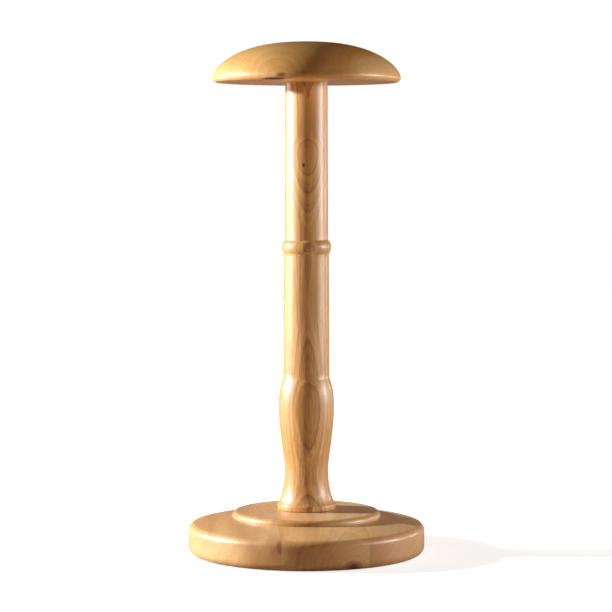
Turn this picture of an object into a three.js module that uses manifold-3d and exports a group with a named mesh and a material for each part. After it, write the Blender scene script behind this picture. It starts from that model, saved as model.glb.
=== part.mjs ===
// A milliner's hat stand turned in wood: a round base with a raised step, a column with a flared foot,
// a swelling and a bead, and a low domed head that a hat rests on.
// Millimetres, +Z up. The origin is the centre of the face that the stand rests on.

import * as THREE from "three";
import { mergeVertices } from "three/addons/utils/BufferGeometryUtils.js";
import Module from "manifold-3d";

// Base, turned from a blank of three staves that are glued edge to edge
const baseDiameter = 180;
const baseBottomRound = 6; // radius of the lower edge
const baseRimRound = 5.5; // radius of the upper edge
const baseFall = 6; // how far the top falls in an arc from the step to the side
const stepDiameter = 112.6;
const stepFootHeight = 28.2; // above the face that the stand rests on
const stepRise = 5.4;
const stepRound = 3.7; // radius of the step's edge
const stepCrown = 0.9; // how far the step's top falls from the column to its edge
const staveWidth = 65.3; // of the centre stave
const staveOffset = 6.75; // of the centre stave's middle from the axis

// Column, with its heights above the top of the step
const columnHeight = 324; // from the step to the head
const lipDiameter = 44.4;
const lipHeight = 4;
const lipRound = 1.2; // radius of its lower edge
const waistDiameter = 33.1;
const waistHeight = 31.2;
const swellingDiameter = 42;
const swellingHeight = 78.7;
const shoulderDiameter = 35;
const shoulderHeight = 100.5;
const beadHeight = 199.8;
const beadDiameter = 37.5;
const beadArcRadius = 7.6; // of its round
const beadArcHalf = 3.8; // how far the round goes up and down
const beadHollow = 2.1; // height of the hollow on each side that leads to it
const belowBeadDiameter = 34;
const aboveBeadDiameter = 32.9;
const columnTopDiameter = 32;

// Joints between the pieces
const footTenonDiameter = 24;
const footTenonLength = 22;
const headTenonDiameter = 20;
const headTenonLength = 16;
const tenonChamfer = 1.5;
const clearance = 0.3; // round each tenon, the screw and the felt

// Head
const headDiameter = 142.4;
const headFlatDiameter = 135; // of the flat underside
const headEdgeHeight = 3.6; // from the underside up to the widest line
const domeRise = 27; // from the widest line to the crown

// Felt disc in the underside of the base
const feltRim = 9.7; // width of the flat ring of wood round it
const feltThickness = 1.5;
const feltProud = 0.3; // how far it stands below the wood

// Countersunk wood screw, with its lengths measured from the face of its head
const screwLength = 38;
const screwDiameter = 4.8;
const screwHeadDiameter = 9.2;
const screwHeadHeight = 2.8;
const screwHeadEdge = 0.4;
const screwSunk = 0.5; // below the wood under the felt
const screwShankLength = 13;
const screwPointLength = 4;
const threadPitch = 2.8;
const threadDepth = 0.8;
const slotWidth = 1.2;
const slotDepth = 1.3;

// Shares of the way across and of the way up at which a curve's two control points stand
const flareShares = { start: [0.56, 0.155], end: [1, 0.49] };
const swellingShares = { start: [0, 0.168], end: [1, 0.587] };
const shoulderShares = { start: [0, 0.505], end: [0.486, 0.761] };
const beadStartShares = { start: [0, 0.45], end: [0.65, 0.78] };
const beadEndShares = { start: [0.35, 0.37], end: [1, 0.55] };
const fallStartShare = 0.73; // of the mean slope of the base's top, which it has beside the step
const drillPointShare = 0.6; // of a hole's radius

// Powers of the dome's outline, in which 2 and 2 would make a true ellipse
const domeSidePower = 2.46;
const domeRisePower = 1.6;

// How finely the round faces are cut
const baseSides = 60;
const headSides = 60;
const columnSides = 36;
const screwSides = 12;
const edgeArcSteps = 3; // of the base's and the head's rounded edges
const columnArcSteps = 7;
const domeSteps = 12;
const threadStepsPerTurn = 6;

const samePlace = 0.001; // points of an outline that are nearer than this are one point
const overrun = 5; // how far a cutting block reaches past what it cuts

// Sizes that follow from those above
const quarter = Math.PI / 2;
const baseRadius = baseDiameter / 2;
const stepRadius = stepDiameter / 2;
const stepTop = stepFootHeight + stepRise;
const columnTop = stepTop + columnHeight;
const footTenonEnd = stepTop - footTenonLength;
const headTenonEnd = columnTop + headTenonLength;
const recessRadius = baseRadius - baseBottomRound - feltRim;
const feltRadius = recessRadius - clearance;
const screwFace = feltThickness + screwSunk;
const leftGlueLine = staveOffset - staveWidth / 2;
const rightGlueLine = staveOffset + staveWidth / 2;

const wasm = await Module();
wasm.setup();

// A closed geometry as a solid that can be cut.
function solidOf(geometry) {
  const bare = geometry.clone();
  bare.deleteAttribute("normal");
  bare.deleteAttribute("uv");
  const merged = mergeVertices(bare, samePlace);
  const vertProperties = new Float32Array(merged.getAttribute("position").array);
  const triVerts = new Uint32Array(merged.getIndex().array);
  return new wasm.Manifold(new wasm.Mesh({ numProp: 3, vertProperties, triVerts }));
}

function geometryOf(solid) {
  const mesh = solid.getMesh();
  const geometry = new THREE.BufferGeometry();
  geometry.setAttribute("position", new THREE.BufferAttribute(mesh.vertProperties, 3));
  geometry.setIndex(new THREE.BufferAttribute(mesh.triVerts, 1));
  geometry.computeVertexNormals();
  return geometry;
}

// A round piece turned about Z, from an outline whose x is the radius and whose y is the height.
function turned(outline, arcSteps, sides) {
  const points = outline
    .getPoints(arcSteps)
    .filter((point, i, all) => i === 0 || point.distanceTo(all[i - 1]) > samePlace);
  return new THREE.LatheGeometry(points, sides).rotateX(quarter);
}

// A smooth curve on to a radius and height, bent by its shares.
function sweepTo(outline, radius, height, shares) {
  const from = outline.currentPoint.clone();
  const across = radius - from.x;
  const up = height - from.y;
  outline.bezierCurveTo(
    from.x + across * shares.start[0],
    from.y + up * shares.start[1],
    from.x + across * shares.end[0],
    from.y + up * shares.end[1],
    radius,
    height,
  );
}

// The blank of the base, with the recess for the felt, the hole for the screw and the mortise.
function baseOutline() {
  const holeRadius = screwDiameter / 2 + clearance;
  const countersinkRadius = screwHeadDiameter / 2 + clearance;
  const countersinkTop = screwFace + screwHeadHeight;
  const mortiseRadius = footTenonDiameter / 2 + clearance;
  const mortiseFloor = footTenonEnd - clearance;

  // The top falls in an arc from the foot of the step, and the rim's round is tangent to that arc
  // and to the side.
  const reach = baseRadius - stepRadius;
  const meanAngle = Math.atan2(baseFall, reach);
  const startAngle = meanAngle * fallStartShare;
  const fallRadius = Math.hypot(reach, baseFall) / 2 / Math.sin(meanAngle - startAngle);
  const fallX = stepRadius - fallRadius * Math.sin(startAngle);
  const fallY = stepFootHeight - fallRadius * Math.cos(startAngle);
  const rimReach = baseRadius - baseRimRound - fallX;
  const rimRise = Math.sqrt((fallRadius - baseRimRound) ** 2 - rimReach ** 2);
  const rimAngle = Math.atan2(rimRise, rimReach);

  const outline = new THREE.Path();
  outline.moveTo(holeRadius, countersinkTop);
  outline.lineTo(countersinkRadius, screwFace);
  outline.lineTo(countersinkRadius, feltThickness);
  outline.lineTo(recessRadius, feltThickness);
  outline.lineTo(recessRadius, feltProud);
  const bottomCentre = feltProud + baseBottomRound;
  outline.absarc(baseRadius - baseBottomRound, bottomCentre, baseBottomRound, -quarter, 0);
  outline.absarc(baseRadius - baseRimRound, fallY + rimRise, baseRimRound, 0, rimAngle);
  outline.absarc(fallX, fallY, fallRadius, rimAngle, quarter - startAngle);
  const stepEdge = stepTop - stepCrown;
  outline.absarc(stepRadius - stepRound, stepEdge - stepRound, stepRound, 0, quarter);
  outline.lineTo(lipDiameter / 2, stepTop);
  outline.lineTo(mortiseRadius, stepTop);
  outline.lineTo(mortiseRadius, mortiseFloor);
  outline.lineTo(holeRadius, mortiseFloor);
  outline.closePath();
  return outline;
}

// The staves are the parts of the blank on each side of the two glue lines.
function staveGeometry(blank, fromX, toX) {
  const block = new THREE.BoxGeometry(toX - fromX, baseDiameter + overrun, stepTop + overrun);
  block.translate((fromX + toX) / 2, 0, stepTop / 2);
  return geometryOf(blank.intersect(solidOf(block)));
}

// One turned piece, with a tenon at each end and the pilot hole for the screw.
function columnGeometry() {
  const pilotRadius = screwDiameter / 2 + clearance;
  const pilotTop = screwFace + screwLength + clearance;
  const lipRadius = lipDiameter / 2;
  const beadCentre = stepTop + beadHeight;
  const beadArcX = beadDiameter / 2 - beadArcRadius;
  const beadAngle = Math.asin(beadArcHalf / beadArcRadius);
  const beadArcEnd = beadArcX + beadArcRadius * Math.cos(beadAngle);
  const beadHalf = beadArcHalf + beadHollow;

  const outline = new THREE.Path();
  outline.moveTo(0, pilotTop + pilotRadius * drillPointShare);
  outline.lineTo(pilotRadius, pilotTop);
  outline.lineTo(pilotRadius, footTenonEnd);
  outline.lineTo(footTenonDiameter / 2 - tenonChamfer, footTenonEnd);
  outline.lineTo(footTenonDiameter / 2, footTenonEnd + tenonChamfer);
  outline.lineTo(footTenonDiameter / 2, stepTop);
  outline.lineTo(lipRadius - lipRound, stepTop);
  outline.quadraticCurveTo(lipRadius, stepTop, lipRadius, stepTop + lipRound);
  outline.lineTo(lipRadius, stepTop + lipHeight);
  sweepTo(outline, waistDiameter / 2, stepTop + waistHeight, flareShares);
  sweepTo(outline, swellingDiameter / 2, stepTop + swellingHeight, swellingShares);
  sweepTo(outline, shoulderDiameter / 2, stepTop + shoulderHeight, shoulderShares);
  outline.lineTo(belowBeadDiameter / 2, beadCentre - beadHalf);
  sweepTo(outline, beadArcEnd, beadCentre - beadArcHalf, beadStartShares);
  outline.absarc(beadArcX, beadCentre, beadArcRadius, -beadAngle, beadAngle);
  sweepTo(outline, aboveBeadDiameter / 2, beadCentre + beadHalf, beadEndShares);
  outline.lineTo(columnTopDiameter / 2, columnTop);
  outline.lineTo(headTenonDiameter / 2, columnTop);
  outline.lineTo(headTenonDiameter / 2, headTenonEnd - tenonChamfer);
  outline.lineTo(headTenonDiameter / 2 - tenonChamfer, headTenonEnd);
  outline.lineTo(0, headTenonEnd);
  return turned(outline, columnArcSteps, columnSides);
}

// The head has a flat underside with a mortise, a rounded lower edge and a full, flat-crowned dome.
function headGeometry() {
  const mortiseRadius = headTenonDiameter / 2 + clearance;
  const mortiseTop = headTenonEnd + clearance;
  const flatRadius = headFlatDiameter / 2;
  const headRadius = headDiameter / 2;
  const widest = columnTop + headEdgeHeight;

  const outline = new THREE.Path();
  outline.moveTo(0, mortiseTop);
  outline.lineTo(mortiseRadius, mortiseTop);
  outline.lineTo(mortiseRadius, columnTop);
  outline.absellipse(flatRadius, widest, headRadius - flatRadius, headEdgeHeight, -quarter, 0);
  for (let i = 1; i <= domeSteps; i++) {
    const angle = (quarter * i) / domeSteps;
    const radius = headRadius * Math.max(Math.cos(angle), 0) ** (2 / domeSidePower);
    outline.lineTo(i < domeSteps ? radius : 0, widest + domeRise * Math.sin(angle) ** (2 / domeRisePower));
  }
  return turned(outline, edgeArcSteps, headSides);
}

// The felt lies flush in its recess and stands a little proud of the wood.
function feltGeometry() {
  const outline = new THREE.Path();
  outline.moveTo(0, 0);
  outline.lineTo(feltRadius, 0);
  outline.lineTo(feltRadius, feltThickness);
  outline.lineTo(0, feltThickness);
  return turned(outline, 1, baseSides);
}

// How far out the thread's ridge stands at a height and an angle, as a share of its depth.
function ridgeShare(height, angle) {
  const phase = height / threadPitch - angle / (4 * quarter);
  return 1 - Math.abs(2 * (phase - Math.floor(phase)) - 1);
}

// A wood screw with its slotted head down and its point up.
function screwGeometry() {
  const shankRadius = screwDiameter / 2;
  const rootRadius = shankRadius - threadDepth;
  const threadStart = screwFace + screwShankLength;
  const threadEnd = screwFace + screwLength - screwPointLength;
  const rings = Math.round(((threadEnd - threadStart) / threadPitch) * threadStepsPerTurn);

  const outline = new THREE.Path();
  outline.moveTo(0, screwFace);
  outline.lineTo(screwHeadDiameter / 2, screwFace);
  outline.lineTo(screwHeadDiameter / 2, screwFace + screwHeadEdge);
  outline.lineTo(shankRadius, screwFace + screwHeadHeight);
  outline.lineTo(shankRadius, threadStart);
  for (let i = 0; i <= rings; i++) {
    const height = threadStart + threadDepth + ((threadEnd - threadStart - threadDepth) * i) / rings;
    outline.lineTo(rootRadius, height);
  }
  outline.lineTo(0, screwFace + screwLength);

  const geometry = turned(outline, 1, screwSides);
  const place = geometry.getAttribute("position");
  for (let i = 0; i < place.count; i++) {
    const height = place.getZ(i);
    const radius = Math.hypot(place.getX(i), place.getY(i));
    const onThread = height > threadStart && height < threadEnd && radius > 0;
    if (onThread) {
      const angle = Math.atan2(place.getY(i), place.getX(i));
      const grown = 1 + (threadDepth * ridgeShare(height, angle)) / radius;
      place.setXY(i, place.getX(i) * grown, place.getY(i) * grown);
    }
  }
  const slot = new THREE.BoxGeometry(screwHeadDiameter + overrun, slotWidth, 2 * slotDepth);
  slot.translate(0, 0, screwFace);
  return geometryOf(solidOf(geometry).subtract(solidOf(slot)));
}

function varnishedWood(color) {
  return new THREE.MeshStandardMaterial({ color, roughness: 0.35, metalness: 0 });
}

function steel() {
  return new THREE.MeshStandardMaterial({ color: 0x9a9a98, roughness: 0.4, metalness: 1 });
}

function felt() {
  return new THREE.MeshStandardMaterial({ color: 0x2f4a38, roughness: 1, metalness: 0 });
}

function piece(name, geometry, material) {
  const mesh = new THREE.Mesh(geometry, material);
  mesh.name = name;
  return mesh;
}

const blank = solidOf(turned(baseOutline(), edgeArcSteps, baseSides));
const edge = baseRadius + overrun;

const hatStand = new THREE.Group();
hatStand.add(
  piece("base_stave_left", staveGeometry(blank, -edge, leftGlueLine), varnishedWood(0xcf9f68)),
  piece("base_stave_centre", staveGeometry(blank, leftGlueLine, rightGlueLine), varnishedWood(0xc99a63)),
  piece("base_stave_right", staveGeometry(blank, rightGlueLine, edge), varnishedWood(0xc79c72)),
  piece("column", columnGeometry(), varnishedWood(0xcf9d62)),
  piece("head", headGeometry(), varnishedWood(0xc8965c)),
  piece("base_screw", screwGeometry(), steel()),
  piece("base_felt", feltGeometry(), felt()),
);

export default hatStand;
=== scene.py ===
import math
import bmesh
import bpy
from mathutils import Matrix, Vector


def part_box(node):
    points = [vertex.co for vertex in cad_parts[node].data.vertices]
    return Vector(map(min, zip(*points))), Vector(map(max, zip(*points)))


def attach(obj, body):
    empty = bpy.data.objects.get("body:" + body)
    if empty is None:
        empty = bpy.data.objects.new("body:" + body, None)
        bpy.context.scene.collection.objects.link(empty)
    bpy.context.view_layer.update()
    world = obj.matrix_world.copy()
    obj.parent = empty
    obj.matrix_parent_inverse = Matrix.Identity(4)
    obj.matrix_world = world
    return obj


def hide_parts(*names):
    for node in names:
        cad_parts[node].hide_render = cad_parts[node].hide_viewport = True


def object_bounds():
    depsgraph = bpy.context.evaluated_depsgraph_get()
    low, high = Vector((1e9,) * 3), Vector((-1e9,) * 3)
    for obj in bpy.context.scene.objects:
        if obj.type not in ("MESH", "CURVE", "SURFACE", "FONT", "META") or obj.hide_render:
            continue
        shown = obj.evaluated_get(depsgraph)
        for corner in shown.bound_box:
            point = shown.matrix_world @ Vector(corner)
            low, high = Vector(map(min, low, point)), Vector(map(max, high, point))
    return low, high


# A milliner's hat stand turned in light brown hardwood, under a clear gloss lacquer.
# Sizes in the dictionaries are millimetres, and colours are sRGB from 0 to 255.
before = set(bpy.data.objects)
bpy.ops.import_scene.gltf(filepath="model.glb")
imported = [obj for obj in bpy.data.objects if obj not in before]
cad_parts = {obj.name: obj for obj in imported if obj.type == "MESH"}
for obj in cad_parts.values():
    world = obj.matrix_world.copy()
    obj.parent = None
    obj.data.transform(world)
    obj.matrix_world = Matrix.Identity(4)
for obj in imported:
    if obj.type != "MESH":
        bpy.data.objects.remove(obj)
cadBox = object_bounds()
mm = 0.001
quarterTurn = math.pi / 2


# The photograph's camera: a long lens a little above the base, turned a few degrees to the left
shot = {
    "lens": 135,
    "sensor": 36,
    "distance": 1740,  # from the stand's axis
    "height": 292.8,
    "aimHeight": 188.6,
    "aimAside": -0.35,  # so the stand sits a hair right of the middle of the picture
    "turn": 5,  # degrees
}
ahead = Vector((math.sin(math.radians(shot["turn"])), math.cos(math.radians(shot["turn"])), 0))
aside = Vector((ahead.y, -ahead.x, 0))


def makeCamera():
    aim = aside * shot["aimAside"] * mm + Vector((0, 0, shot["aimHeight"] * mm))
    camera = bpy.data.objects.new("camera", bpy.data.cameras.new("camera"))
    camera.location = aim - ahead * shot["distance"] * mm
    camera.location.z = shot["height"] * mm
    camera.rotation_mode = "QUATERNION"
    camera.rotation_quaternion = (aim - camera.location).to_track_quat("-Z", "Y")
    camera.data.lens = shot["lens"]
    camera.data.sensor_width = shot["sensor"]
    bpy.context.scene.collection.objects.link(camera)
    bpy.context.scene.camera = camera


makeCamera()
print("camera set up")


# Wraps a socket, so that shader maths reads as plain maths
class Sock:
    def __init__(self, graph, out):
        self.graph = graph
        self.out = out
        self.isVector = out.type in ("VECTOR", "RGBA")

    def maths(self, operation, *terms):
        vectors = any(isinstance(term, Sock) and term.isVector for term in terms)
        kind = "ShaderNodeVectorMath" if vectors else "ShaderNodeMath"
        if vectors:
            terms = [(term,) * 3 if isinstance(term, (int, float)) else term for term in terms]
        return self.graph.add(kind, {"operation": operation}, dict(enumerate(terms)))

    def __add__(self, other):
        return self.maths("ADD", self, other)

    def __sub__(self, other):
        return self.maths("SUBTRACT", self, other)

    def __rsub__(self, other):
        return self.maths("SUBTRACT", other, self)

    def __mul__(self, other):
        return self.maths("MULTIPLY", self, other)

    def __truediv__(self, other):
        return self.maths("DIVIDE", self, other)

    def __pow__(self, other):
        return self.maths("POWER", self, other)

    def __rpow__(self, other):
        return self.maths("POWER", other, self)

    def floor(self):
        return self.maths("FLOOR", self)

    def fraction(self):
        return self.maths("FRACT", self)

    def parts(self):
        split = self.graph.add("ShaderNodeSeparateXYZ", inputs={0: self})
        return [Sock(self.graph, out) for out in split.out.node.outputs]


class Graph:
    def __init__(self, tree):
        self.tree = tree
        tree.nodes.clear()

    # one node: its settings first, then the values or links of its sockets
    def add(self, kind, settings=None, inputs=None, out=0):
        node = self.tree.nodes.new(kind)
        for name, value in (settings or {}).items():
            setattr(node, name, value)
        for name, value in (inputs or {}).items():
            if isinstance(value, Sock):
                self.tree.links.new(value.out, node.inputs[name])
            else:
                node.inputs[name].default_value = value
        return Sock(self, node.outputs[out]) if len(node.outputs) else node

    def vector(self, x, y, z):
        return self.add("ShaderNodeCombineXYZ", inputs={0: x, 1: y, 2: z})

    # the place on a piece, in millimetres
    def place(self):
        return self.add("ShaderNodeTexCoord", out="Object") * (1 / mm)

    def dot(self, first, second):
        settings = {"operation": "DOT_PRODUCT"}
        return self.add("ShaderNodeVectorMath", settings, {0: first, 1: second}, out="Value")

    # relief from a height map, with how tall it is in millimetres
    def bump(self, height, tall):
        return self.add("ShaderNodeBump", inputs={"Strength": 1, "Distance": tall * mm, "Height": height})

    def mix(self, share, first, second, how="MIX"):
        settings = {"data_type": "RGBA", "blend_type": how}
        return self.add("ShaderNodeMix", settings, {0: share, 6: first, 7: second}, out=2)

    def noise(self, place, detail=2, out="Fac"):
        inputs = {"Vector": place, "Scale": 1, "Detail": detail}
        return self.add("ShaderNodeTexNoise", inputs=inputs, out=out)

    # noise along one length only
    def lineNoise(self, place, detail=1):
        settings = {"noise_dimensions": "1D"}
        return self.add("ShaderNodeTexNoise", settings, {"W": place, "Scale": 1, "Detail": detail})

    # from 0 below low to 1 above high
    def step(self, value, low, high):
        inputs = {"Value": value, "From Min": low, "From Max": high}
        return self.add("ShaderNodeMapRange", {"interpolation_type": "SMOOTHSTEP"}, inputs)

    # 1 where all the offsets are 0, and fading out over their reaches
    def spot(self, offsets, reaches):
        total = 0
        for offset, reach in zip(offsets, reaches):
            total = (offset / reach) ** 2 + total
        return math.e ** (total * -1)


def newMaterial(name):
    material = bpy.data.materials.new(name)
    material.use_nodes = True
    return material, Graph(material.node_tree)


def finishMaterial(graph, inputs):
    shader = graph.add("ShaderNodeBsdfPrincipled", inputs=inputs)
    graph.add("ShaderNodeOutputMaterial", inputs={"Surface": shader})


# an sRGB colour from 0 to 255, as the linear one that a socket takes
def linear(colour):
    shares = [part / 255 for part in colour]
    return (*[s / 12.92 if s <= 0.04045 else ((s + 0.055) / 1.055) ** 2.4 for s in shares], 1)


# What all the wood of the stand shares
timber = {
    "late": (150, 92, 48),  # the dark edge of each year's ring
    "patch": 30,  # size of the slow changes of colour
    "patchLength": 120,
    "patchEdges": (0.35, 0.65),
    "wanderSize": 16,  # how broadly the grain strays
    "wanderLength": 80,
    "unevenYears": 2.5,  # rings over which their width changes
    "ringBody": 0.6,  # share of a ring's darkness that grows slowly, and the rest is at its edge
    "edgePower": 12,
    "palestYear": 0.5,  # share of the full darkness that the palest ring keeps
    "fineRing": 0.75,
    "fibreWidth": 0.9,
    "fibreLength": 15,
    "streakWidth": 2.3,
    "streakLength": 50,
    "fleckWidth": 0.9,
    "fleckLength": 3.6,
    "roughness": 0.48,
    "specular": 0.65,  # of the wood under the lacquer
    "coatWeight": 0.55,
    "coatRoughness": 0.3,
    "ior": 1.5,
    "sheenRoughness": 0.4,
    "relief": 0.035,  # height of the grain under the lacquer
    "reliefShares": {"fibre": 0.6, "fleck": 0.25, "toolMarks": 0.25, "flow": 0.9, "late": 0.2},
    "flowSize": 4,
    "toolMarks": (1.1, 0.9),  # lathe marks to the millimetre, outwards and upwards
    "knotStray": 0.3,  # how far knots, streaks and bands stray with the grain
    "streakStray": 0.25,
    "bandStray": 2,
    # where each colour of a knot starts and is full, and its share
    "knotEdges": {"around": (0.08, 0.5, 0.75), "colour": (0.5, 0.95, 0.9)},
    "streakEdge": (0.2, 0.8),
    "fleckEdge": (0.08, 0.3),
    "shadePowers": (1.25, 1.6),  # green and blue darken more than red
    "fibreRoughness": 0.12,
    "fleckRoughness": 0.06,
}


# How far a point is from the heart of the tree, which leans along the grain
def ringDistance(graph, cut, across, deep, along, stray):
    distances = []
    for heart in cut["hearts"]:
        offsetAcross = across + stray[0] - (along * heart["lean"][0] + heart["at"][0])
        offsetDeep = deep + stray[1] - (along * heart["lean"][1] + heart["at"][1])
        distances.append((offsetAcross**2 + offsetDeep**2) ** 0.5)
    distance = distances[0]
    for other in distances[1:]:
        inputs = {0: distance, 1: other, 2: cut["heartBlend"]}
        distance = graph.add("ShaderNodeMath", {"operation": "SMOOTH_MIN"}, inputs)
    return distance


def lacqueredWood(name, cut):
    material, graph = newMaterial(name)
    x, y, z = graph.place().parts()
    across, deep, along = (x, y, z) if cut["grain"] == "upright" else (x, z, y)
    seed = cut["seed"]

    # the place in the grain's own lengths, and the offset gives each noise a part of the wood to itself
    def stretched(width, length, offset=0):
        return graph.vector(across / width + seed + offset, deep / width, along / length)

    def offsetsFrom(centre):
        return [axis - middle for axis, middle in zip((x, y, z), centre)]

    wanderPlace = stretched(timber["wanderSize"], timber["wanderLength"])
    stray = ((graph.noise(wanderPlace, 1, "Color") - 0.5) * cut["wander"] * 2).parts()
    distance = ringDistance(graph, cut, across, deep, along, stray)

    # knots push the rings aside
    knotShares = []
    for knot in cut.get("knots", []):
        offsets = offsetsFrom(knot["at"])
        near = graph.spot(offsets, [reach * knot["swirl"] for reach in knot["reach"]])
        distance = distance + near * knot["push"]
        wander = stray[0] * timber["knotStray"]
        knotShares.append((knot, graph.spot([offset + wander for offset in offsets], knot["reach"])))

    # each year's ring darkens outwards and ends in a sharp edge
    uneven = graph.lineNoise(distance / (cut["ringWidth"] * timber["unevenYears"]) + seed)
    turns = distance / cut["ringWidth"] + (uneven - 0.5) * cut["unevenness"] + cut["ringStart"]
    figure = cut.get("figure", [])
    for (low, before), (high, after) in zip(figure, figure[1:]):
        turns = turns - graph.step(along, low, high) * (after - before)
    ringShare = turns.fraction()
    year = graph.add("ShaderNodeTexWhiteNoise", {"noise_dimensions": "1D"}, {"W": turns.floor() + seed})
    body, palest = timber["ringBody"], timber["palestYear"]
    late = ringShare ** cut["lateFade"] * body + ringShare ** timber["edgePower"] * (1 - body)
    late = late * (1 - graph.step(ringShare, 1 - cut["lateEdge"], 1)) * (year * (1 - palest) + palest)

    patches = graph.noise(stretched(timber["patch"], timber["patchLength"], 7))
    paler = graph.step(patches, *timber["patchEdges"])
    colour = graph.mix(paler, linear(cut["golden"]), linear(cut["pale"]))
    colour = graph.mix(late * cut["lateDepth"], colour, linear(timber["late"]))
    for band in cut.get("bands", []):
        edge = across + stray[1] * timber["bandStray"] - (deep * band["lean"] + band["at"])
        inBand = graph.spot([edge], [band["width"]])
        colour = graph.mix(inBand * band["share"], colour, linear(band["colour"]))
    # streaks of other wood colour; on the head, the pale upper right one is also painted light and the
    # darker lower one painted shade
    for streakAndPaintedLight in cut.get("streaks", []):
        offsets = offsetsFrom(streakAndPaintedLight["at"])
        offsets[0] = offsets[0] + stray[0] * timber["streakStray"]
        share = graph.step(graph.spot(offsets, streakAndPaintedLight["reach"]), *timber["streakEdge"])
        colour = graph.mix(share * streakAndPaintedLight["share"], colour, linear(streakAndPaintedLight["colour"]))
    for knot, near in knotShares:
        for part, (start, full, share) in timber["knotEdges"].items():
            colour = graph.mix(graph.step(near, start, full) * share, colour, linear(knot[part]))

    if cut["grain"] == "level":
        facing = graph.add("ShaderNodeTexCoord", out="Normal").parts()[1]
        colour = graph.mix(facing**2 * cut["endShare"], colour, linear(cut["endGrain"]), "MULTIPLY")

    # fine lines with the rings, fibres and streaks with the grain, and the short flecks of a close wood
    fine = graph.lineNoise(turns * (cut["ringWidth"] / timber["fineRing"]) + seed, 2) - 0.5
    fibre = graph.noise(stretched(timber["fibreWidth"], timber["fibreLength"], 3), 3)
    streaks = graph.noise(stretched(timber["streakWidth"], timber["streakLength"], 5), 2) - 0.5
    cellPlace = stretched(timber["fleckWidth"], timber["fleckLength"], 9)
    cell = graph.add("ShaderNodeTexVoronoi", inputs={"Vector": cellPlace, "Scale": 1}, out="Distance")
    fleck = 1 - graph.step(cell, *timber["fleckEdge"])
    shade = fine * cut["fineDepth"] + (fibre - 0.5) * cut["fibreDepth"] + streaks * cut["streakDepth"] + 1
    shade = shade - fleck * cut["fleckDepth"]
    for line in cut.get("glueLines", []):
        shade = shade * (1 - graph.spot([x - line["at"]], [line["width"]]) * line["depth"])
    green, blue = timber["shadePowers"]
    colour = graph.mix(1, colour, graph.vector(shade, shade**green, shade**blue), "MULTIPLY")

    # lathe marks run round the piece, under the lacquer
    radial = (x**2 + y**2) ** 0.5
    outwards, upwards = timber["toolMarks"]
    toolMarks = graph.lineNoise(radial * outwards + z * upwards, 3)
    size, depth = timber["flowSize"], timber["reliefShares"]
    flow = graph.noise(graph.vector(x / size, y / size, z / size), 2)
    raised = fibre * depth["fibre"] - fleck * depth["fleck"] + toolMarks * depth["toolMarks"]
    relief = raised + flow * depth["flow"] - late * depth["late"]
    bump = graph.bump(relief, timber["relief"])
    fibreRoughness, fleckRoughness = timber["fibreRoughness"], timber["fleckRoughness"]
    smoothest = timber["roughness"] - fibreRoughness / 2
    roughness = fibre * fibreRoughness + fleck * fleckRoughness + smoothest
    finishMaterial(
        graph,
        {
            "Base Color": colour,
            "Roughness": roughness,
            "IOR": timber["ior"],
            "Specular IOR Level": timber["specular"],
            "Coat Weight": timber["coatWeight"],
            "Coat Roughness": timber["coatRoughness"],
            "Sheen Weight": cut["sheen"],
            "Sheen Roughness": timber["sheenRoughness"],
            "Normal": bump,
        },
    )
    return material


samePoint = 0.001  # millimetres within which two points of an outline are one


# The half section of a turned piece: points of radius and height, in millimetres
class Outline:
    def __init__(self, radius, height):
        self.points = [(radius, height)]

    def put(self, radius, height):
        if math.dist(self.points[-1], (radius, height)) > samePoint:
            self.points.append((radius, height))

    # a straight line, in parts no longer than the pitch
    def lineTo(self, radius, height, pitch=4):
        start = self.points[-1]
        count = math.ceil(math.dist(start, (radius, height)) / pitch)
        for i in range(1, count + 1):
            self.put(start[0] + (radius - start[0]) * i / count, start[1] + (height - start[1]) * i / count)

    # part of an ellipse, with angles in radians from straight out, growing upwards
    def arc(self, centre, reach, rise, start, end, steps):
        for i in range(steps + 1):
            angle = start + (end - start) * i / steps
            self.put(centre[0] + reach * math.cos(angle), centre[1] + rise * math.sin(angle))

    # a smooth curve bent by two control points, given as shares of the way across and up
    def sweepTo(self, radius, height, shares, steps):
        start = self.points[-1]
        across, up = radius - start[0], height - start[1]
        for i in range(1, steps + 1):
            t = i / steps
            first, second, third = 3 * t * (1 - t) ** 2, 3 * t * t * (1 - t), t**3
            alongAcross = first * shares[0][0] + second * shares[1][0] + third
            alongUp = first * shares[0][1] + second * shares[1][1] + third
            self.put(start[0] + across * alongAcross, start[1] + up * alongUp)


sharpAngle = math.radians(38)  # from which an edge isn't smoothed


def turnedForm(outline, sides, closed=False):
    form = bmesh.new()
    rings = []
    for radius, height in outline.points:
        angles = [2 * math.pi * i / sides for i in range(sides if radius > 0 else 1)]
        places = [(radius * math.cos(a), radius * math.sin(a), height) for a in angles]
        rings.append([form.verts.new(Vector(place) * mm) for place in places])
    if closed:
        rings.append(rings[0])
    for lower, upper in zip(rings, rings[1:]):
        for i in range(sides):
            around = (lower, i), (lower, i + 1), (upper, i + 1), (upper, i)
            corners = [ring[k % len(ring)] for ring, k in around]
            form.faces.new(dict.fromkeys(corners))
    return form


# what is left of a form on one side of an upright plane across X, with its cut face closed
def cutForm(form, place, side):
    geometry = form.verts[:] + form.edges[:] + form.faces[:]
    cut = bmesh.ops.bisect_plane(
        form, geom=geometry, plane_co=(place * mm, 0, 0), plane_no=(side, 0, 0), clear_inner=True
    )
    rim = [edge for edge in cut["geom_cut"] if isinstance(edge, bmesh.types.BMEdge)]
    bmesh.ops.triangle_fill(form, edges=rim, use_beauty=True)


def addPiece(name, form, material, slot, *nodes):
    bmesh.ops.recalc_face_normals(form, faces=form.faces)
    for face in form.faces:
        face.smooth = True
    for edge in form.edges:
        edge.smooth = edge.calc_face_angle(0) < sharpAngle
    mesh = bpy.data.meshes.new(name)
    form.to_mesh(mesh)
    form.free()
    mesh.materials.append(material)
    piece = bpy.data.objects.new(name, mesh)
    bpy.context.scene.collection.objects.link(piece)
    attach(piece, "root")
    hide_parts(*nodes)
    return piece


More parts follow.
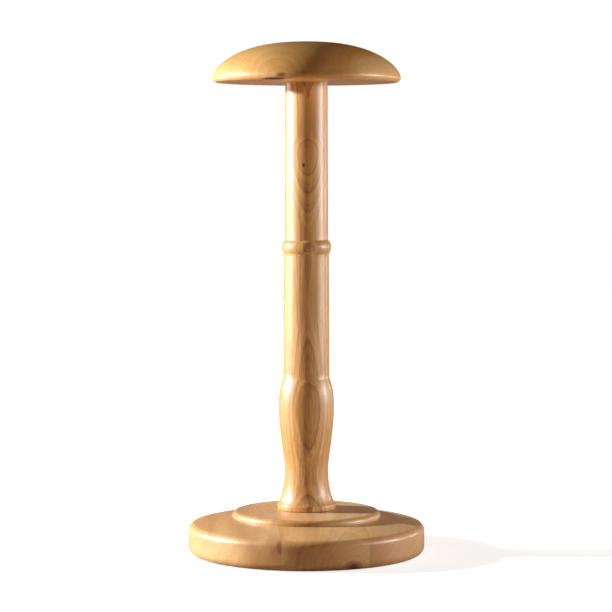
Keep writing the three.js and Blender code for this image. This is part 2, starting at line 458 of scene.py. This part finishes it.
# The base, turned from a blank of three staves
base = {
    "bottomRound": 6,
    "rimRound": 5.5,
    "fall": 6,  # of the top's arc, from the step to the side
    "fallStart": 0.73,  # share of its mean slope that the top has beside the step
    "stepDiameter": 112.6,
    "stepRise": 5.4,
    "stepRound": 3.7,
    "stepCrown": 0.9,  # how far the step's top falls from the column to its edge
    "lip": 44.4,  # diameter of the column's foot
    "staveWidth": 65.3,
    "staveOffset": 6.75,
    "feltRim": 9.7,
    "feltProud": 0.3,
    "countersink": (4.9, 2.4, 2),  # radius and height of its cone, and the height where it starts
    "mortise": (12.3, 22.3),  # radius and depth
    "screwHole": 2.7,
    "steps": {"bottom": 10, "rim": 12, "fall": 12, "step": 10},  # of each rounded part of the outline
    "sides": 240,
}
baseRadius = (cadBox[1].x - cadBox[0].x) / 2 / mm
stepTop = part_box("base_stave_centre")[1].z / mm
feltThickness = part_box("base_felt")[1].z / mm
staveEdges = [base["staveOffset"] - base["staveWidth"] / 2, base["staveOffset"] + base["staveWidth"] / 2]


def baseOutline():
    stepRadius = base["stepDiameter"] / 2
    stepFoot = stepTop - base["stepRise"]
    rim, bottom, fall = base["rimRound"], base["bottomRound"], base["fall"]
    recessRadius = baseRadius - bottom - base["feltRim"]
    sinkRadius, sinkRise, sinkStart = base["countersink"]
    mortiseRadius, mortiseDepth = base["mortise"]
    steps = base["steps"]

    # the top is an arc from the foot of the step, and the rim's round is tangent to it
    reach = baseRadius - stepRadius
    meanAngle = math.atan2(fall, reach)
    startAngle = meanAngle * base["fallStart"]
    fallRadius = math.hypot(reach, fall) / 2 / math.sin(meanAngle - startAngle)
    fallAcross = stepRadius - fallRadius * math.sin(startAngle)
    fallHeight = stepFoot - fallRadius * math.cos(startAngle)
    rimReach = baseRadius - rim - fallAcross
    rimRise = math.sqrt((fallRadius - rim) ** 2 - rimReach**2)
    rimAngle = math.atan2(rimRise, rimReach)

    outline = Outline(base["screwHole"], sinkStart + sinkRise)
    outline.lineTo(sinkRadius, sinkStart)
    outline.lineTo(sinkRadius, feltThickness)
    outline.lineTo(recessRadius, feltThickness)
    outline.lineTo(recessRadius, base["feltProud"])
    bottomCentre = baseRadius - bottom, base["feltProud"] + bottom
    outline.arc(bottomCentre, bottom, bottom, -quarterTurn, 0, steps["bottom"])
    outline.lineTo(baseRadius, fallHeight + rimRise)
    outline.arc((baseRadius - rim, fallHeight + rimRise), rim, rim, 0, rimAngle, steps["rim"])
    fallEnd = quarterTurn - startAngle
    outline.arc((fallAcross, fallHeight), fallRadius, fallRadius, rimAngle, fallEnd, steps["fall"])
    stepRound, stepEdge = base["stepRound"], stepTop - base["stepCrown"]
    outline.lineTo(stepRadius, stepEdge - stepRound)
    roundCentre = stepRadius - stepRound, stepEdge - stepRound
    outline.arc(roundCentre, stepRound, stepRound, 0, quarterTurn, steps["step"])
    outline.lineTo(base["lip"] / 2, stepTop)
    outline.lineTo(mortiseRadius, stepTop)
    outline.lineTo(mortiseRadius, stepTop - mortiseDepth)
    outline.lineTo(base["screwHole"], stepTop - mortiseDepth)
    return outline


glueLines = [{"at": edge, "width": 0.25, "depth": 0.15} for edge in staveEdges]
levelGrain = {
    "grain": "level",
    "wander": 2.2,
    "ringStart": 0,
    "endShare": 0.5,
    "endGrain": (222, 206, 188),  # multiplies the colour of the ends of the grain
    "lateFade": 1.6,
    "lateEdge": 0.35,
    "fineDepth": 0.14,
    "fibreDepth": 0.4,
    "streakDepth": 0.12,
    "fleckDepth": 0.07,
    "sheen": 0.06,  # the bloom of a flat lacquered top, seen and lit from low down
}
staves = {
    "left": {
        **levelGrain,
        "seed": 3.1,
        "hearts": [{"at": (70, -46), "lean": (0.03, 0.0)}],
        "ringWidth": 9,
        "unevenness": 1.5,
        "lateDepth": 0.42,
        "fineDepth": 0.06,
        "pale": (235, 192, 131),
        "golden": (223, 173, 108),
        "bands": [{"at": -40, "lean": -0.45, "width": 8, "share": 0.6, "colour": (202, 148, 84)}],
        "streaks": [
            {"at": (-27.2, -84, 18), "reach": (2.5, 20, 5.5), "share": 0.75, "colour": (160, 84, 46)},
            {"at": (-30, -84, 19), "reach": (6, 24, 10), "share": 0.4, "colour": (196, 128, 76)},
            {"at": (-28, -48, 31), "reach": (2.6, 9, 4), "share": 0.35, "colour": (206, 138, 92)},
        ],
        "glueLines": glueLines,
    },
    "centre": {
        **levelGrain,
        "seed": 8.4,
        "hearts": [{"at": (27.1, 2), "lean": (0.01, 0.015)}],
        "ringWidth": 4.2,
        "unevenness": 1.1,
        "lateDepth": 0.55,
        "pale": (235, 190, 124),
        "golden": (223, 171, 101),
        "knots": [
            {
                "at": (27.1, -87, 3),
                "reach": (6.4, 26, 4.2),
                "swirl": 2,
                "push": 0.6,
                "around": (190, 122, 80),
                "colour": (142, 74, 42),
            },
        ],
        "streaks": [
            {"at": (30.5, -86, 13), "reach": (6.5, 20, 1.2), "share": 0.4, "colour": (236, 204, 166)},
        ],
        "glueLines": glueLines,
    },
    "right": {
        **levelGrain,
        "seed": 14.7,
        "hearts": [{"at": (150, -60), "lean": (0.02, 0.02)}],
        "ringWidth": 6,
        "unevenness": 1.2,
        "lateDepth": 0.34,
        "fineDepth": 0.08,
        "endShare": 0.8,
        "endGrain": (214, 176, 154),
        "pale": (235, 190, 130),
        "golden": (226, 175, 110),
        "glueLines": glueLines,
    },
}


def makeBase():
    reach = baseRadius * 2
    edges = [-reach, *staveEdges, reach]
    for i, (name, cut) in enumerate(staves.items()):
        form = turnedForm(baseOutline(), base["sides"], closed=True)
        if i > 0:
            cutForm(form, edges[i], 1)
        if i < 2:
            cutForm(form, edges[i + 1], -1)
        material = lacqueredWood(name + " stave", cut)
        addPiece(name + "Stave", form, material, "wood_base", "base_stave_" + name)


makeBase()
print("base turned and cut into", len(staves), "staves")


# The column, with its heights above the step
column = {
    "height": 324,
    "lip": (base["lip"], 4, 1.2),  # diameter, height, and the radius of its lower edge
    "waist": (33.1, 31.2),
    "swelling": (42, 78.7),
    "shoulder": (35, 100.5),
    "bead": (37.5, 199.8),
    "beadArc": (7.6, 3.8),  # radius of its round, and how far that goes up and down
    "beadHollow": 2.1,  # height of the hollow on each side that leads to it
    "belowBead": 34,
    "aboveBead": 32.9,
    "top": 32,
    "footTenon": (24, 22),
    "headTenon": (20, 16),
    "tenonChamfer": 1.5,
    "pilot": (2.7, 40.3, 1.6),  # radius, and the heights of its end and of the drill's point
    # how the curve up to each place bends, as shares of the way across and up
    "waistShares": ((0.56, 0.155), (1, 0.49)),
    "swellingShares": ((0, 0.168), (1, 0.587)),
    "shoulderShares": ((0, 0.505), (0.486, 0.761)),
    "beadStartShares": ((0, 0.45), (0.65, 0.78)),
    "beadEndShares": ((0.35, 0.37), (1, 0.55)),
    "lipPitch": 1.2,
    "steps": {"lip": 8, "waist": 24, "swelling": 32, "shoulder": 18, "hollow": 8, "bead": 12},
    "sides": 160,
}
columnCut = {
    "grain": "upright",
    "seed": 21.3,
    "wander": 0.7,
    "hearts": [{"at": (0.3, -52), "lean": (0, 0)}],
    "ringWidth": 3.5,
    "unevenness": 0,
    "ringStart": -0.63,
    # heights, and how many rings nearer to the heart the surface lies there
    "figure": [
        (125, -1),
        (187, -2.06),
        (245, -1.9),
        (307, 1.45),
        (317.5, 0.45),
        (334, 0.45),
        (349, 0.66),
        (362, 1),
    ],
    "lateFade": 1.8,
    "lateEdge": 0.05,
    "lateDepth": 0.95,
    "pale": (236, 186, 118),
    "golden": (222, 163, 88),
    "knots": [
        {
            "at": (-3.6, -15.8, 295.4),
            "reach": (1.2, 4, 1.4),
            "swirl": 3,
            "push": -1,
            "around": (150, 84, 44),
            "colour": (28, 12, 8),
        },
    ],
    "fineDepth": 0.5,
    "fibreDepth": 0.8,
    "streakDepth": 0.5,
    "fleckDepth": 0.2,
    "sheen": 0,
}


def makeColumn():
    lipDiameter, lipHeight, lipRound = column["lip"]
    footTenon, footDepth = column["footTenon"]
    headTenon, headDepth = column["headTenon"]
    chamfer = column["tenonChamfer"]
    pilotRadius, pilotEnd, pilotPoint = column["pilot"]
    beadCentre = stepTop + column["bead"][1]
    arcRadius, arcHalf = column["beadArc"]
    arcCentre = column["bead"][0] / 2 - arcRadius
    arcAngle = math.asin(arcHalf / arcRadius)
    arcEnd = arcCentre + arcRadius * math.cos(arcAngle)
    beadHalf = arcHalf + column["beadHollow"]
    top = stepTop + column["height"]
    steps = column["steps"]

    outline = Outline(0, pilotEnd + pilotPoint)
    outline.lineTo(pilotRadius, pilotEnd)
    outline.lineTo(pilotRadius, stepTop - footDepth)
    outline.lineTo(footTenon / 2 - chamfer, stepTop - footDepth)
    outline.lineTo(footTenon / 2, stepTop - footDepth + chamfer)
    outline.lineTo(footTenon / 2, stepTop)
    outline.lineTo(lipDiameter / 2 - lipRound, stepTop)
    lipCentre = lipDiameter / 2 - lipRound, stepTop + lipRound
    outline.arc(lipCentre, lipRound, lipRound, -quarterTurn, 0, steps["lip"])
    outline.lineTo(lipDiameter / 2, stepTop + lipHeight, column["lipPitch"])
    for name in ("waist", "swelling", "shoulder"):
        diameter, height = column[name]
        outline.sweepTo(diameter / 2, stepTop + height, column[name + "Shares"], steps[name])
    outline.lineTo(column["belowBead"] / 2, beadCentre - beadHalf)
    outline.sweepTo(arcEnd, beadCentre - arcHalf, column["beadStartShares"], steps["hollow"])
    outline.arc((arcCentre, beadCentre), arcRadius, arcRadius, -arcAngle, arcAngle, steps["bead"])
    outline.sweepTo(column["aboveBead"] / 2, beadCentre + beadHalf, column["beadEndShares"], steps["hollow"])
    outline.lineTo(column["top"] / 2, top)
    outline.lineTo(headTenon / 2, top)
    outline.lineTo(headTenon / 2, top + headDepth - chamfer)
    outline.lineTo(headTenon / 2 - chamfer, top + headDepth)
    outline.lineTo(0, top + headDepth)
    material = lacqueredWood("column wood", columnCut)
    addPiece("turnedColumn", turnedForm(outline, column["sides"]), material, "wood_column", "column")


makeColumn()
print("column turned")


# The domed head
head = {
    "flat": 135,  # diameter of the flat underside
    "edgeHeight": 3.6,
    "sidePower": 2.46,
    "risePower": 1.6,
    "mortise": (10.3, 16.3),
    "edgeSteps": 10,
    "domeSteps": 48,
    "sides": 240,
}
headCut = {
    **levelGrain,
    "seed": 33.9,
    "hearts": [{"at": (-24.5, 360), "lean": (0.02, 0.01)}, {"at": (36, 367.5), "lean": (-0.02, 0.015)}],
    "heartBlend": 3,  # how far the rings about two hearts run into each other
    "ringWidth": 5,
    "unevenness": 1.2,
    "lateDepth": 0.5,
    "sheen": 0,
    "pale": (251, 202, 126),
    "golden": (245, 185, 100),
    "knots": [
        {
            "at": (-24.5, -68, 360.6),
            "reach": (3.4, 12, 1.7),
            "swirl": 2,
            "push": 0.5,
            "around": (202, 116, 66),
            "colour": (150, 66, 36),
        },
    ],
    "streaks": [
        # a paler patch of wood about the second heart, also painted light on the head's upper right
        {"at": (46, -40, 368), "reach": (22, 60, 9), "share": 0.5, "colour": (250, 216, 152)},
        # darker wood towards the middle, also painted shade on the head's lower right
        {"at": (20, -60, 361), "reach": (16, 40, 5), "share": 0.35, "colour": (190, 132, 78)},
        {"at": (-30, -64, 358.2), "reach": (10, 14, 0.95), "share": 0.95, "colour": (46, 20, 12)},
    ],
}


def makeHead():
    low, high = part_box("head")
    radius, underside, crown = (high.x - low.x) / 2 / mm, low.z / mm, high.z / mm
    widest = underside + head["edgeHeight"]
    mortiseRadius, mortiseDepth = head["mortise"]
    flat = head["flat"] / 2

    outline = Outline(0, underside + mortiseDepth)
    outline.lineTo(mortiseRadius, underside + mortiseDepth)
    outline.lineTo(mortiseRadius, underside)
    outline.lineTo(flat, underside)
    outline.arc((flat, widest), radius - flat, head["edgeHeight"], -quarterTurn, 0, head["edgeSteps"])
    for i in range(1, head["domeSteps"]):
        angle = quarterTurn * i / head["domeSteps"]
        reachShare = math.cos(angle) ** (2 / head["sidePower"])
        riseShare = math.sin(angle) ** (2 / head["risePower"])
        outline.put(radius * reachShare, widest + (crown - widest) * riseShare)
    outline.put(0, crown)
    material = lacqueredWood("head wood", headCut)
    addPiece("domedHead", turnedForm(outline, head["sides"]), material, "wood_head", "head")


makeHead()
print("head turned")


# The felt disc let into the underside
felt = {
    "softEdge": 0.35,
    "edgeSteps": 4,
    "sides": 180,
    "colour": (44, 70, 54),
    "lightFibre": (74, 100, 80),
    "fibre": 0.35,
    "clump": 2.5,
    "clumpShare": 0.3,
    "fibreEdges": (0.3, 0.75),
    "relief": 0.25,
    "roughness": 0.95,
    "sheen": 0.3,
}


def feltCloth():
    material, graph = newMaterial("green felt")
    place = graph.place()
    fuzz = graph.noise(place * (1 / felt["fibre"]), 4)
    clumps = graph.noise(place * (1 / felt["clump"]), 2)
    both = fuzz * (1 - felt["clumpShare"]) + clumps * felt["clumpShare"]
    share = graph.step(both, *felt["fibreEdges"])
    colour = graph.mix(share, linear(felt["colour"]), linear(felt["lightFibre"]))
    bump = graph.bump(fuzz, felt["relief"])
    fixed = {"Roughness": felt["roughness"], "Sheen Weight": felt["sheen"]}
    finishMaterial(graph, {"Base Color": colour, "Normal": bump, **fixed})
    return material


def makeFelt():
    low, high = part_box("base_felt")
    radius, top, soft = (high.x - low.x) / 2 / mm, high.z / mm, felt["softEdge"]
    outline = Outline(0, 0)
    outline.lineTo(radius - soft, 0)
    outline.arc((radius - soft, soft), soft, soft, -quarterTurn, 0, felt["edgeSteps"])
    outline.lineTo(radius, top)
    outline.lineTo(0, top)
    piece = addPiece("feltDisc", turnedForm(outline, felt["sides"]), feltCloth(), "felt", "base_felt")


makeFelt()
print("felt laid in")


# The wood screw keeps its CAD solid and gets a drawn steel finish
screwSteel = {
    "bright": (176, 174, 168),
    "dull": (128, 126, 120),
    "roughness": 0.34,
    "ringRoughness": 0.15,
    "rings": (6, 4),  # turning marks to the millimetre, outwards and upwards
    "stain": 2,
    "stainEdges": (0.4, 0.7),
    "relief": 0.02,
}


def drawnSteel():
    material, graph = newMaterial("drawn steel")
    place = graph.place()
    x, y, z = place.parts()
    outwards, upwards = screwSteel["rings"]
    rings = graph.lineNoise((x**2 + y**2) ** 0.5 * outwards + z * upwards, 3)
    stain = graph.noise(place * (1 / screwSteel["stain"]), 3)
    stained = graph.step(stain, *screwSteel["stainEdges"])
    colour = graph.mix(stained, linear(screwSteel["bright"]), linear(screwSteel["dull"]))
    bump = graph.bump(rings, screwSteel["relief"])
    roughness = rings * screwSteel["ringRoughness"] + screwSteel["roughness"]
    finishMaterial(graph, {"Base Color": colour, "Metallic": 1, "Roughness": roughness, "Normal": bump})
    return material


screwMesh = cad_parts["base_screw"].data
screwMesh.materials.clear()
screwMesh.materials.append(drawnSteel())
print("screw finished")


# A strong small lamp on the left, a broad soft one on the right, three weak ones for the edges and the
# stripe of gloss, and a dim warm room
studio = {
    "lamps": {
        "left": {"bearing": -91.5, "distance": 1560, "height": 575, "size": 100, "watts": 52},
        "leftRim": {"bearing": -118, "distance": 1500, "height": 350, "size": 200, "watts": 4},
        "right": {"bearing": 89, "distance": 1500, "height": 370, "size": 420, "watts": 11},
        "rightFront": {"bearing": 71, "distance": 1500, "height": 430, "size": 90, "watts": 3.8},
        "rightRim": {"bearing": 125, "distance": 1500, "height": 270, "size": 200, "watts": 1.9},
    },
    "lampAim": 190,
    "floorRadius": 9000,
    "floorSides": 96,
    "floorColour": (196, 196, 196),
    "floorGlow": 0.76,  # near the stand, and 1 further off
    "floorFade": (0.25, 1.6),  # metres from the stand over which it gets there
    "behindFade": (0.1, 1),  # metres behind the stand over which the backdrop's reflection starts
    "bounceColour": (168, 148, 130),  # what the floor throws back up at the stand
    "backdropEdge": (50, 25),  # degrees from straight behind the stand, where the white backdrop ends
    "backdropTop": (3, 20),  # degrees above level, where its reflection fades
    "backdropGloss": 0.1,  # how much of it the lacquer picks up
    "roomColour": (255, 130, 40),
    "roomLevel": 0.07,
    "roomGloss": 0.03,
}


def makeLamp(name, lamp):
    bearing = math.radians(lamp["bearing"])
    data = bpy.data.lights.new(name, "AREA")
    data.shape = "DISK"
    data.size = lamp["size"] * mm
    data.energy = lamp["watts"]
    light = bpy.data.objects.new(name, data)
    out = aside * math.sin(bearing) - ahead * math.cos(bearing)
    light.location = out * lamp["distance"] * mm + Vector((0, 0, lamp["height"] * mm))
    aim = Vector((0, 0, studio["lampAim"] * mm))
    light.rotation_mode = "QUATERNION"
    light.rotation_quaternion = (aim - light.location).to_track_quat("-Z", "Y")
    bpy.context.scene.collection.objects.link(light)


# The white backdrop fills the view behind the stand, also through glass and, more faintly, in glosses.
# Gives the share of white, and whether the ray is a glossy one.
def whiteShare(graph, behind):
    path = graph.add("ShaderNodeLightPath").out.node.outputs
    kinds = "Camera", "Glossy", "Transmission"
    camera, glossy, through = (Sock(graph, path["Is " + kind + " Ray"]) for kind in kinds)
    return 1 - (1 - camera) * (1 - through) * (1 - glossy * behind), glossy


def makeFloor():
    material, graph = newMaterial("pale floor")
    place = graph.add("ShaderNodeTexCoord", out="Object")
    behind = graph.dot(place, ahead)
    seen = whiteShare(graph, graph.step(behind, *studio["behindFade"]) * studio["backdropGloss"])[0]
    x, y = place.parts()[:2]
    far = graph.step((x**2 + y**2) ** 0.5, *studio["floorFade"])
    level = far * (1 - studio["floorGlow"]) + studio["floorGlow"]
    bounce = graph.add("ShaderNodeBsdfDiffuse", inputs={"Color": linear(studio["bounceColour"])})
    pale = graph.add("ShaderNodeBsdfDiffuse", inputs={"Color": linear(studio["floorColour"])})
    paper = graph.add("ShaderNodeMixShader", inputs={0: seen, 1: bounce, 2: pale})
    dark = graph.add("ShaderNodeEmission", inputs={"Color": (0, 0, 0, 1), "Strength": 0})
    bright = graph.add("ShaderNodeEmission", inputs={"Color": (1, 1, 1, 1), "Strength": 1})
    glow = graph.add("ShaderNodeMixShader", inputs={0: seen * level, 1: dark, 2: bright})
    both = graph.add("ShaderNodeAddShader", inputs={0: paper, 1: glow})
    graph.add("ShaderNodeOutputMaterial", inputs={"Surface": both})
    form = bmesh.new()
    sides, radius = studio["floorSides"], studio["floorRadius"] * mm
    bmesh.ops.create_circle(form, cap_ends=True, segments=sides, radius=radius)
    mesh = bpy.data.meshes.new("floor")
    form.to_mesh(mesh)
    form.free()
    mesh.materials.append(material)
    floor = bpy.data.objects.new("floor", mesh)
    bpy.context.scene.collection.objects.link(floor)


def makeRoom():
    world = bpy.data.worlds.new("room")
    world.use_nodes = True
    graph = Graph(world.node_tree)
    direction = graph.add("ShaderNodeTexCoord", out="Generated")
    toBackdrop = graph.dot(direction, ahead)
    low, high = (math.cos(math.radians(angle)) for angle in studio["backdropEdge"])
    start, end = (math.sin(math.radians(angle)) for angle in studio["backdropTop"])
    lowDown = 1 - graph.step(direction.parts()[2], start, end)
    seen, glossy = whiteShare(graph, graph.step(toBackdrop, low, high) * lowDown * studio["backdropGloss"])
    roomInputs = {"Color": linear(studio["roomColour"]), "Strength": studio["roomLevel"]}
    lit = graph.add("ShaderNodeBackground", inputs=roomInputs)
    reflected = graph.add("ShaderNodeBackground", inputs={**roomInputs, "Strength": studio["roomGloss"]})
    room = graph.add("ShaderNodeMixShader", inputs={0: glossy, 1: lit, 2: reflected})
    white = graph.add("ShaderNodeBackground", inputs={"Color": (1, 1, 1, 1), "Strength": 1})
    sky = graph.add("ShaderNodeMixShader", inputs={0: seen, 1: room, 2: white})
    graph.add("ShaderNodeOutputWorld", inputs={"Surface": sky})
    bpy.context.scene.world = world


for lampName, lamp in studio["lamps"].items():
    makeLamp(lampName, lamp)
makeFloor()
makeRoom()
bpy.context.scene.view_settings.view_transform = "Standard"
print("studio lit")
